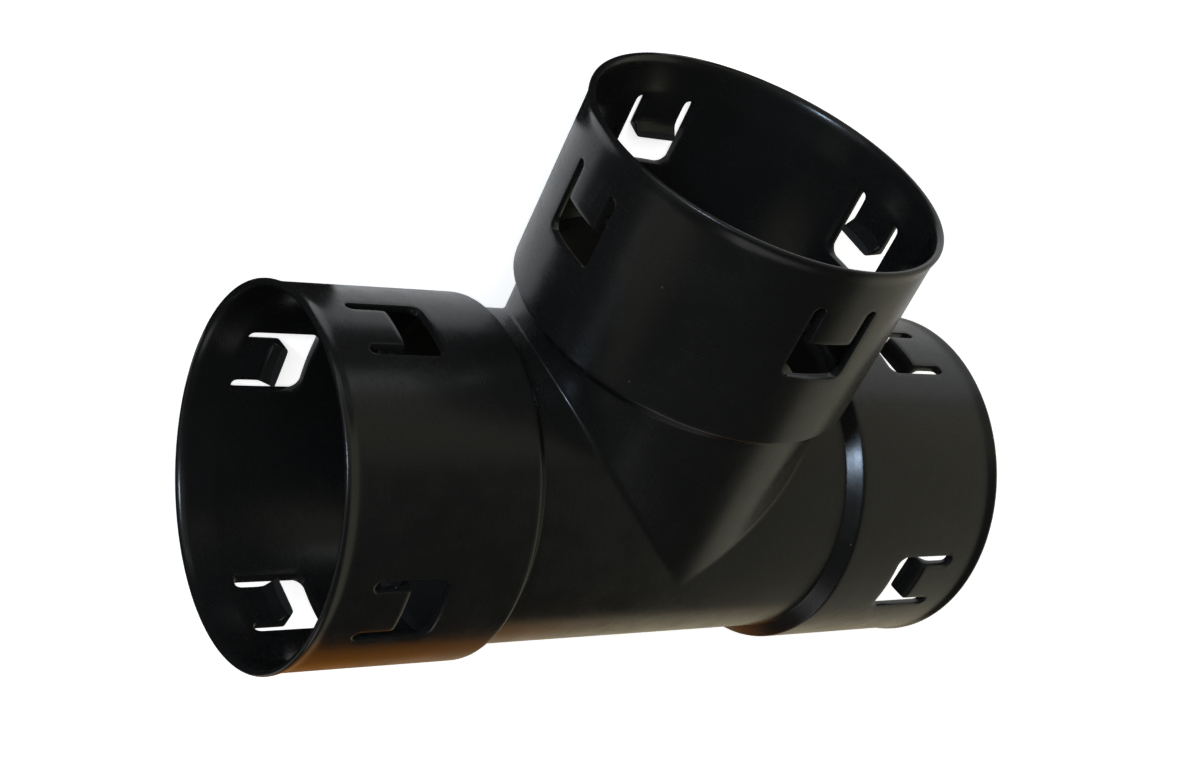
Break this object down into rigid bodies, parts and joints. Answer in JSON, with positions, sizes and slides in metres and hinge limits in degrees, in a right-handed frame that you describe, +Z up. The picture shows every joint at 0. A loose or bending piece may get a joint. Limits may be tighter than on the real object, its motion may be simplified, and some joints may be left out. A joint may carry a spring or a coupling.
{
  "type": "drain pipe tee",
  "caption": "Push-fit tee for corrugated drain pipe: equal run and branch sockets with snap tongues in wall windows, narrow necks and a plain crossing body.",
  "frame": {"origin": "middle of the base of the tee's box, as it lies on its sockets with all axes level", "axes": "+X along the straight run towards the outlet, +Y along the branch towards its mouth, +Z up"},
  "size_m": [0.234, 0.1706, 0.1074],
  "materials": {
    "black_polypropylene": "satin"
  },
  "bodies": {
    "root": {"drain_tee": "black_polypropylene"}
  },
  "joints": []
}
